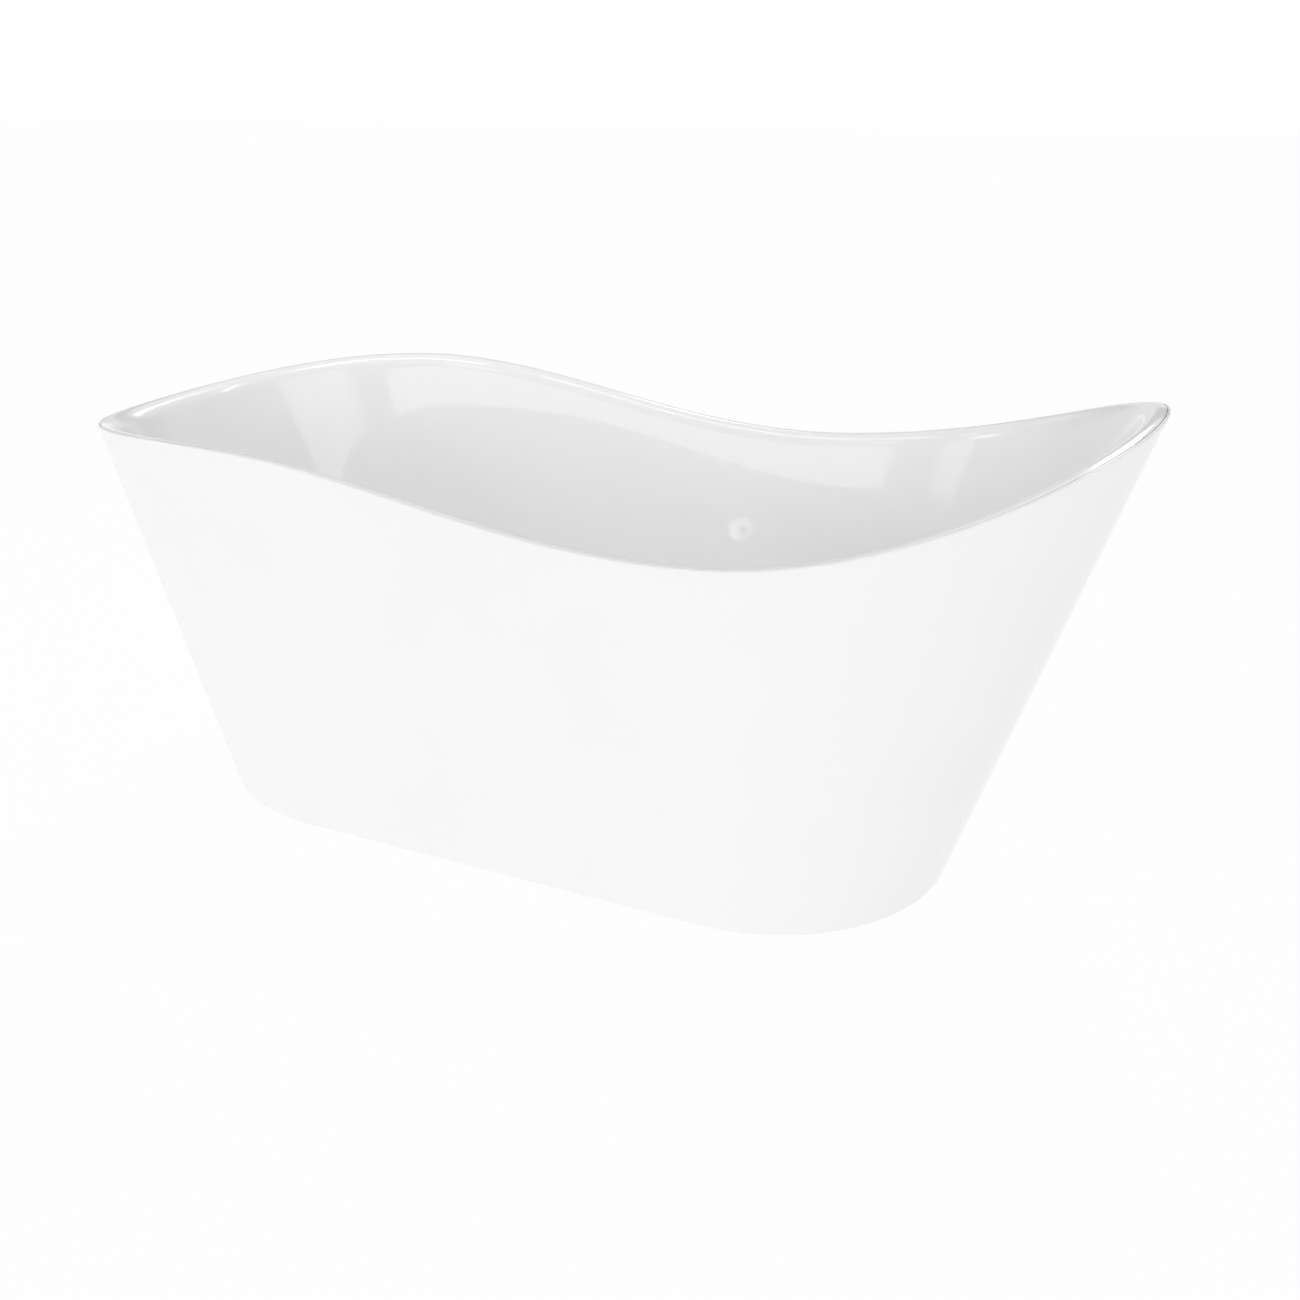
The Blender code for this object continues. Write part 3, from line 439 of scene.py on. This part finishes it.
def surface_look(name, dark, light, roughness, metallic=0.0, pattern="noise", scale=40.0, grain=900.0,
                 bump=0.02, ior=1.5):
    """A procedural finish: two colours in patches, a roughness that varies, and a fine grain as bump."""
    material = bpy.data.materials.new(name)
    material.use_nodes = True
    nodes = material.node_tree.nodes
    links = material.node_tree.links
    shader = nodes["Principled BSDF"]
    shader.inputs["IOR"].default_value = ior
    shader.inputs["Metallic"].default_value = metallic
    place = nodes.new("ShaderNodeTexCoord")
    if pattern == "cells":
        patches = nodes.new("ShaderNodeTexVoronoi")
        patch_value = patches.outputs["Color"]
    else:
        patches = nodes.new("ShaderNodeTexNoise")
        patches.inputs["Detail"].default_value = 4.0
        patch_value = patches.outputs["Fac"]
    patches.inputs["Scale"].default_value = scale
    links.new(place.outputs["Object"], patches.inputs["Vector"])
    colours = nodes.new("ShaderNodeValToRGB")
    colours.color_ramp.elements[0].color = (*dark, 1)
    colours.color_ramp.elements[1].color = (*light, 1)
    colours.color_ramp.elements[0].position = DARK_SHARE
    colours.color_ramp.elements[1].position = LIGHT_SHARE
    links.new(patch_value, colours.inputs["Fac"])
    links.new(colours.outputs["Color"], shader.inputs["Base Color"])
    polish = nodes.new("ShaderNodeMapRange")
    polish.inputs["To Min"].default_value = roughness[0]
    polish.inputs["To Max"].default_value = roughness[1]
    links.new(patch_value, polish.inputs["Value"])
    links.new(polish.outputs["Result"], shader.inputs["Roughness"])
    grains = nodes.new("ShaderNodeTexNoise")
    grains.inputs["Scale"].default_value = grain
    grains.inputs["Detail"].default_value = 2.0
    links.new(place.outputs["Object"], grains.inputs["Vector"])
    relief = nodes.new("ShaderNodeBump")
    relief.inputs["Strength"].default_value = bump
    relief.inputs["Distance"].default_value = GRAIN_HEIGHT
    links.new(grains.outputs["Fac"], relief.inputs["Height"])
    links.new(relief.outputs["Normal"], shader.inputs["Normal"])
    return material


# Each finish: its dark colour, its light colour, its roughness from and to, then its patches and grain
LOOKS = {
    "white_acrylic": surface_look(
        "white_acrylic", (0.908, 0.908, 0.916), (0.922, 0.922, 0.93), (0.03, 0.06),
        scale=5.0, grain=60.0, bump=0.01, ior=1.49),
    "waterproof_board": surface_look(
        "waterproof_board", (0.30, 0.21, 0.12), (0.56, 0.43, 0.27), (0.7, 0.9),
        pattern="cells", scale=260.0, grain=500.0, bump=0.35),
    "galvanised_steel": surface_look(
        "galvanised_steel", (0.50, 0.52, 0.54), (0.70, 0.72, 0.74), (0.32, 0.52),
        metallic=1.0, pattern="cells", scale=90.0, grain=400.0, bump=0.05),
    "zinc_plated_steel": surface_look(
        "zinc_plated_steel", (0.62, 0.62, 0.58), (0.76, 0.76, 0.74), (0.22, 0.38),
        metallic=1.0, scale=120.0, grain=1500.0, bump=0.05),
    "spring_steel": surface_look(
        "spring_steel", (0.42, 0.43, 0.45), (0.60, 0.61, 0.63), (0.22, 0.36),
        metallic=1.0, scale=300.0, grain=2500.0, bump=0.05),
    "chrome": surface_look(
        "chrome", (0.80, 0.81, 0.82), (0.88, 0.89, 0.90), (0.03, 0.08),
        metallic=1.0, scale=50.0, grain=300.0, bump=0.005),
    "brass": surface_look(
        "brass", (0.62, 0.46, 0.20), (0.80, 0.64, 0.34), (0.20, 0.36),
        metallic=1.0, scale=150.0, grain=1500.0, bump=0.05),
    "black_rubber": surface_look(
        "black_rubber", (0.018, 0.018, 0.018), (0.035, 0.035, 0.035), (0.65, 0.85),
        scale=200.0, grain=2500.0, bump=0.2),
    "white_plastic": surface_look(
        "white_plastic", (0.76, 0.76, 0.73), (0.82, 0.82, 0.80), (0.32, 0.48),
        scale=60.0, grain=1800.0, bump=0.08),
    "dark_plastic": surface_look(
        "dark_plastic", (0.045, 0.045, 0.05), (0.075, 0.075, 0.08), (0.42, 0.60),
        scale=90.0, grain=2200.0, bump=0.2),
}

for subpart in frame["record"]["subparts"]:
    node_mesh = frame["nodes"][subpart["node"]].data
    node_mesh.materials.clear()
    node_mesh.materials.append(LOOKS[subpart["material_slot"]])

# ---------------------------------------------------------------- the shells

outline = stations()
skirt_loops = [skirt_loop(item) for item in outline]
add_piece("skirt_shell", grid_mesh("skirt_shell", skirt_loops, loop=True), "white_acrylic", "outer_skirt")
basin_columns = [basin_column(item) for item in outline]
basin = add_piece("basin_shell", grid_mesh("basin_shell", basin_columns), "white_acrylic", "inner_basin")
solidify(basin, BASIN_THICKNESS)
overflow_frame = overflow_matrix()
cut(basin, rod_mesh("overflow_hole", OVERFLOW_HOLE, OVERFLOW_DRILL), overflow_frame)

# ---------------------------------------------------------------- overflow, on its own axis

COVER_RADIUS = 0.034
COVER_FRONT = 0.009
COVER_BACK = 0.0006
COVER_WALL = 0.002
COVER_SCREW_HOLE = 0.0028
COVER_SHOULDER = 0.006
COVER_SLOT = (0.036, 0.020, 0.008)
COVER_HEAD_RADIUS = 0.0045
COVER_HEAD_HEIGHT = 0.002
COVER_HEAD_START = 0.0093
COVER_SCREW_RADIUS = 0.0025
COVER_SCREW_END = -0.0216
COVER_KEY = 0.0024
COVER_KEY_DEPTH = 0.0028
COVER_BEVEL = 0.0016
COVER_INNER_BEVEL = 0.001
COVER_ROUND = 0.0018
COVER_SLOT_RISE = 0.002
COVER_HEAD_SHARE = 0.7
COVER_HEAD_EDGE = 0.001
COVER_HEAD_ROUND = 0.0004

cover_profile = rounded([
    (COVER_SCREW_HOLE, COVER_FRONT), (COVER_RADIUS - COVER_SHOULDER, COVER_FRONT),
    (COVER_RADIUS, COVER_FRONT - COVER_BEVEL), (COVER_RADIUS, COVER_BACK),
    (COVER_RADIUS - COVER_WALL, COVER_BACK),
    (COVER_RADIUS - COVER_WALL, COVER_FRONT - COVER_WALL - COVER_INNER_BEVEL),
    (COVER_SCREW_HOLE, COVER_FRONT - COVER_WALL)], COVER_ROUND, steps=6, ends=True)
cover_mesh = turned_mesh("overflow_cover_fine", cover_profile, FINE_SEGMENTS)
cover = add_piece("overflow_cover_fine", cover_mesh, "chrome", "overflow_cover", overflow_frame)
slot_place = overflow_frame @ Matrix.Translation((0, -COVER_RADIUS, COVER_BACK + COVER_SLOT_RISE))
cut(cover, block_mesh("inlet", COVER_SLOT), slot_place)

screw_profile = rounded([
    (0, COVER_HEAD_START + COVER_HEAD_HEIGHT),
    (COVER_HEAD_RADIUS * COVER_HEAD_SHARE, COVER_HEAD_START + COVER_HEAD_HEIGHT),
    (COVER_HEAD_RADIUS, COVER_HEAD_START + COVER_HEAD_EDGE), (COVER_HEAD_RADIUS, COVER_HEAD_START),
    (COVER_SCREW_RADIUS, COVER_HEAD_START), (COVER_SCREW_RADIUS, COVER_SCREW_END),
    (0, COVER_SCREW_END)], COVER_HEAD_ROUND)
screw_mesh = turned_mesh("overflow_screw_fine", screw_profile, 48, loop=False)
cover_screw = add_piece("overflow_screw_fine", screw_mesh, "chrome", "overflow_screw", overflow_frame)
key_place = overflow_frame @ Matrix.Translation((0, 0, COVER_HEAD_START + COVER_HEAD_HEIGHT))
key_radius = COVER_KEY / 2 / math.cos(math.pi / 6)
cut(cover_screw, rod_mesh("key", key_radius, COVER_KEY_DEPTH, 6), key_place)

# ---------------------------------------------------------------- waste and plug, on the Z axis

FLANGE_BOTTOM = FLOOR_HEIGHT + 0.0021
FLANGE_RADIUS = 0.0355
FLANGE_DISH = 0.0285
TUBE_OUTER = 0.0238
TUBE_INNER = 0.0212
TUBE_END = 0.116
CROSSBAR = (0.0444, 0.010, 0.0028)
CROSSBAR_HEIGHT = 0.1178
CARTRIDGE_HOLE = 0.0034
CARTRIDGE_DRILL = 0.01
FLANGE_TOP = FLANGE_BOTTOM + 0.0025
FLANGE_EDGE = FLANGE_BOTTOM + 0.001
FLANGE_DISH_TOP = FLANGE_BOTTOM + 0.0029
FLANGE_BEVEL = 0.001
FLANGE_ROUND = 0.0012
TUBE_FLARE_START = FLANGE_BOTTOM - 0.004
PLUG_RADIUS = 0.0305
PLUG_EDGE_HEIGHT = 0.0008
PLUG_EDGE_INSET = 0.0006
DOME_STEPS = 14
DOME_FALL = 0.0024
DOME_POWER = 3.2
PLUG_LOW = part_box("plug_cap")[0].z
PLUG_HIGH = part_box("plug_cap")[1].z

flange_profile = rounded([
    (FLANGE_RADIUS - FLANGE_BEVEL, FLANGE_TOP), (FLANGE_RADIUS, FLANGE_EDGE),
    (FLANGE_RADIUS, FLANGE_BOTTOM), (TUBE_OUTER, FLANGE_BOTTOM),
    (TUBE_OUTER, TUBE_END), (TUBE_INNER, TUBE_END),
    (TUBE_INNER, TUBE_FLARE_START), (TUBE_OUTER - FLANGE_BEVEL, FLANGE_BOTTOM),
    (FLANGE_DISH, FLANGE_DISH_TOP)], FLANGE_ROUND, ends=True)
flange_mesh = turned_mesh("waste_flange_fine", flange_profile, FINE_SEGMENTS)
flange = add_piece("waste_flange_fine", flange_mesh, "chrome", "waste_flange")
crossbar_place = Matrix.Translation((0, 0, CROSSBAR_HEIGHT))
combine(flange, block_mesh("crossbar", CROSSBAR), crossbar_place, "UNION")
cut(flange, rod_mesh("cartridge_hole", CARTRIDGE_HOLE, CARTRIDGE_DRILL, 32), crossbar_place)

plug_profile = []
for step in range(DOME_STEPS + 1):
    reach = PLUG_RADIUS * math.sin(math.pi / 2 * step / DOME_STEPS)
    plug_profile.append((reach, PLUG_HIGH - DOME_FALL * (reach / PLUG_RADIUS) ** DOME_POWER))
plug_profile += [(PLUG_RADIUS, PLUG_LOW + PLUG_EDGE_HEIGHT), (PLUG_RADIUS - PLUG_EDGE_INSET, PLUG_LOW),
                 (0, PLUG_LOW)]
plug_mesh = turned_mesh("plug_cap_fine", plug_profile, FINE_SEGMENTS, loop=False)
add_piece("plug_cap_fine", plug_mesh, "chrome", "plug_cap")

# ---------------------------------------------------------------- levelling feet

STUD_RADIUS = 0.005
STUD_PITCH = 0.0015
STUD_HEXAGON = (0.0082, 0.022, 0.008)
NUT_RADIUS = 0.0098
NUT_BORE = 0.0053
PAD_RADIUS = 0.026
PAD_HEIGHT = 0.012
PAD_BOSS_RADIUS = 0.014
PAD_BOSS_HEIGHT = 0.018
PAD_SOCKET_RADIUS = 0.0056
PAD_SOCKET_FLOOR = 0.0042
PAD_RIBS = 24
PAD_RIB_DEPTH = 0.0006
PAD_RIB_START = PAD_BOSS_RADIUS + 0.004
PAD_SLOPE = 0.003
PAD_FOOT_INSET = 0.002
PAD_SOCKET_INSET = 0.001
PAD_ROUND = 0.001

pad_profile = [(0, PAD_SOCKET_FLOOR)] + rounded([
    (PAD_SOCKET_RADIUS - PAD_SOCKET_INSET, PAD_SOCKET_FLOOR), (PAD_SOCKET_RADIUS, PAD_SOCKET_FLOOR),
    (PAD_SOCKET_RADIUS, PAD_BOSS_HEIGHT), (PAD_BOSS_RADIUS, PAD_BOSS_HEIGHT), (PAD_BOSS_RADIUS, PAD_HEIGHT),
    (PAD_RADIUS - PAD_SLOPE, PAD_HEIGHT), (PAD_RADIUS, PAD_HEIGHT - PAD_SLOPE), (PAD_RADIUS, 0),
    (PAD_RADIUS - PAD_FOOT_INSET, 0)], PAD_ROUND) + [(0, 0)]

for foot in ("front_left", "back_left", "front_right", "back_right"):
    pad_low, pad_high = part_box("foot_" + foot + "_pad")
    foot_axis = Matrix.Translation(((pad_low.x + pad_high.x) / 2, (pad_low.y + pad_high.y) / 2, 0))
    pad = turned_mesh("pad_" + foot, pad_profile, 192, loop=False,
                      ribs=PAD_RIBS, rib_depth=PAD_RIB_DEPTH, rib_radius=PAD_RIB_START)
    add_piece("pad_" + foot, pad, "dark_plastic", "foot_" + foot + "_pad", foot_axis)
    stud_low, stud_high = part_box("foot_" + foot + "_stud")
    stud = stud_mesh("stud_" + foot, STUD_RADIUS, stud_low.z, stud_high.z, STUD_PITCH, STUD_HEXAGON)
    add_piece("stud_" + foot + "_threaded", stud, "zinc_plated_steel", "foot_" + foot + "_stud", foot_axis)
    for level in ("lower", "upper"):
        nut_name = "foot_" + foot + "_nut_" + level
        nut_low, nut_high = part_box(nut_name)
        nut = nut_mesh("nut_" + foot + "_" + level, NUT_RADIUS, NUT_BORE, nut_high.z - nut_low.z)
        middle = Matrix.Translation((0, 0, (nut_low.z + nut_high.z) / 2))
        add_piece("nut_" + foot + "_" + level, nut, "zinc_plated_steel", nut_name, foot_axis @ middle)

# ---------------------------------------------------------------- ribbed nuts and the brass back nut

SPIGOT_RADIUS = 0.0235
OUTLET_RADIUS = 0.0205
BRANCH_RADIUS = 0.0145
NUT_CLEARANCE = 0.0008
NUT_RIBS = 20
NUT_RIB_DEPTH = 0.0010
NUT_ROUND = 0.0012
BACK_NUT_RADIUS = 0.036
BACK_NUT_BORE = 0.0242
ALONG_Y = Matrix.Rotation(math.pi / 2, 4, "X")


def ribbed_nut(name, stands_for, bore, outer, length, matrix):
    half = length / 2
    profile = rounded([(outer, half), (outer, -half), (bore, -half), (bore, half)], NUT_ROUND, ends=True)
    mesh = turned_mesh(name, profile, 240,
                       ribs=NUT_RIBS, rib_depth=NUT_RIB_DEPTH, rib_radius=(bore + outer) / 2)
    add_piece(name, mesh, "dark_plastic", stands_for, matrix)


union_low, union_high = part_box("trap_union_nut")
ribbed_nut("union_nut_ribbed", "trap_union_nut", SPIGOT_RADIUS + NUT_CLEARANCE, union_high.x,
           union_high.z - union_low.z, Matrix.Translation((0, 0, (union_low.z + union_high.z) / 2)))
outlet_low, outlet_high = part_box("trap_outlet_nut")
ribbed_nut("outlet_nut_ribbed", "trap_outlet_nut", OUTLET_RADIUS + NUT_CLEARANCE, outlet_high.x,
           outlet_high.y - outlet_low.y, Matrix.Translation((outlet_low + outlet_high) / 2) @ ALONG_Y)
branch_low, branch_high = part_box("overflow_nut_lower")
ribbed_nut("branch_nut_ribbed", "overflow_nut_lower", BRANCH_RADIUS + NUT_CLEARANCE, branch_high.x,
           branch_high.y - branch_low.y, Matrix.Translation((branch_low + branch_high) / 2) @ ALONG_Y)

back_nut_low, back_nut_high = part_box("waste_back_nut")
back_nut = nut_mesh("back_nut_chamfered", BACK_NUT_RADIUS, BACK_NUT_BORE,
                    back_nut_high.z - back_nut_low.z, sides=8, segments=FINE_SEGMENTS)
back_nut_place = Matrix.Translation((0, 0, (back_nut_low.z + back_nut_high.z) / 2))
add_piece("back_nut_chamfered", back_nut, "brass", "waste_back_nut", back_nut_place)

# ---------------------------------------------------------------- floor, light and camera

FLOOR_REACH = 30
FLOOR_COLOUR = (0.03, 0.03, 0.03, 1)
FLOOR_GLOW = 0.965

floor_mesh = grid_mesh("floor", [[(x, -FLOOR_REACH, 0), (x, FLOOR_REACH, 0)]
                                 for x in (-FLOOR_REACH, FLOOR_REACH)], ring=False)
floor = bpy.data.objects.new("floor", floor_mesh)
bpy.context.scene.collection.objects.link(floor)
floor_material = bpy.data.materials.new("floor")
floor_material.use_nodes = True
floor_shader = floor_material.node_tree.nodes["Principled BSDF"]
floor_shader.inputs["Base Color"].default_value = FLOOR_COLOUR
floor_shader.inputs["Roughness"].default_value = 1.0
floor_shader.inputs["Specular IOR Level"].default_value = 0.0
floor_shader.inputs["Emission Color"].default_value = (1, 1, 1, 1)
floor_shader.inputs["Emission Strength"].default_value = FLOOR_GLOW
floor_mesh.materials.append(floor_material)

# The studio all round: its general brightness, then lighter and darker areas by bearing and elevation.
# Bearings are in degrees from +Y towards +X. Each area is (from bearing, to bearing, from elevation,
# to elevation, soft edge, added brightness).
STUDIO = 0.78
DARKEST = 0.02
STUDIO_AREAS = {
    "dim overhead": (-185, 185, 45, 95, 10, -0.13),
    "dark gap behind": (-85, 60, 9, 22, 5, -0.55),
    "dark right side": (45, 130, -10, 25, 30, -0.50),
    "dim left side": (-150, -45, -10, 60, 40, -0.20),
    "tall box behind": (-18, -6, 25, 72, 3, 3.5),
    "box in front on the left": (-177, -149, 2, 15, 2, 1.6),
    "box in front on the right": (132, 168, 8, 34, 6, 1.5),
    "narrow box on the left": (-130, -119, 3, 14, 3, 1.3),
    "small box on the left": (-118, -106, 15, 23, 2, 4.0),
    "high box in front": (-147, -132, 37, 44, 2, 3.0),
}

# Strip lights over the far rim: centre, width along X, width along Y, and radiance
STRIP_LIGHTS = {
    "strip_long": ((-0.31, 0.28, 1.80), 0.62, 0.12, 7.0),
    "strip_short": ((-1.03, 0.20, 1.80), 0.24, 0.16, 7.0),
}

for name, (centre, width, depth, radiance) in STRIP_LIGHTS.items():
    light = bpy.data.lights.new(name, "AREA")
    light.shape = "RECTANGLE"
    light.size = width
    light.size_y = depth
    light.energy = radiance * width * depth * math.pi
    lamp = bpy.data.objects.new(name, light)
    lamp.location = centre
    lamp.visible_camera = False
    bpy.context.scene.collection.objects.link(lamp)

world = bpy.data.worlds.new("studio")
bpy.context.scene.world = world
world.use_nodes = True
world_nodes = world.node_tree.nodes
world_links = world.node_tree.links


def world_math(operation, first, second=None):
    node = world_nodes.new("ShaderNodeMath")
    node.operation = operation
    for slot_index, value in enumerate((first, second)):
        if isinstance(value, (int, float)):
            node.inputs[slot_index].default_value = value
        elif value is not None:
            world_links.new(value, node.inputs[slot_index])
    return node.outputs[0]


def world_step(value, start, end):
    """0 below start, 1 above end, and smooth between them."""
    node = world_nodes.new("ShaderNodeMapRange")
    node.interpolation_type = "SMOOTHSTEP"
    node.inputs["From Min"].default_value = math.radians(start)
    node.inputs["From Max"].default_value = math.radians(end)
    world_links.new(value, node.inputs["Value"])
    return node.outputs["Result"]


direction = world_nodes.new("ShaderNodeTexCoord")
axes = world_nodes.new("ShaderNodeSeparateXYZ")
world_links.new(direction.outputs["Generated"], axes.inputs["Vector"])
bearing = world_math("ARCTAN2", axes.outputs["X"], axes.outputs["Y"])
elevation = world_math("ARCSINE", axes.outputs["Z"])
brightness = STUDIO
for start, end, low, high, soft, added in STUDIO_AREAS.values():
    mask = world_math("MULTIPLY", world_step(bearing, start - soft / 2, start + soft / 2),
                      world_step(bearing, end + soft / 2, end - soft / 2))
    band = world_math("MULTIPLY", world_step(elevation, low - soft / 2, low + soft / 2),
                      world_step(elevation, high + soft / 2, high - soft / 2))
    area = world_math("MULTIPLY", mask, band)
    brightness = world_math("ADD", brightness, world_math("MULTIPLY", area, added))
# The camera sees plain white; everything else is lit by the studio
seen = world_nodes.new("ShaderNodeLightPath").outputs["Is Camera Ray"]
lit = world_math("MULTIPLY", world_math("SUBTRACT", 1.0, seen), world_math("MAXIMUM", brightness, DARKEST))
world_links.new(world_math("ADD", lit, seen), world_nodes["Background"].inputs["Strength"])
world_nodes["Background"].inputs["Color"].default_value = (1, 1, 1, 1)

CAMERA_AZIMUTH = math.radians(22.92)
CAMERA_ELEVATION = math.radians(24.91)
CAMERA_DISTANCE = 2.03886
CAMERA_TARGET = Vector((0.1258, 0, 0.25982))
CAMERA_LENS = 34.14
CAMERA_SENSOR = 36.0

back = Vector((math.sin(CAMERA_AZIMUTH) * math.cos(CAMERA_ELEVATION),
               -math.cos(CAMERA_AZIMUTH) * math.cos(CAMERA_ELEVATION),
               math.sin(CAMERA_ELEVATION)))
camera_data = bpy.data.cameras.new("camera")
camera_data.lens = CAMERA_LENS
camera_data.sensor_width = CAMERA_SENSOR
camera = bpy.data.objects.new("camera", camera_data)
bpy.context.scene.collection.objects.link(camera)
camera.location = CAMERA_TARGET + back * CAMERA_DISTANCE
camera.rotation_mode = "QUATERNION"
camera.rotation_quaternion = (-back).to_track_quat("-Z", "Y")
bpy.context.scene.camera = camera
bpy.context.scene.view_settings.view_transform = "Standard"
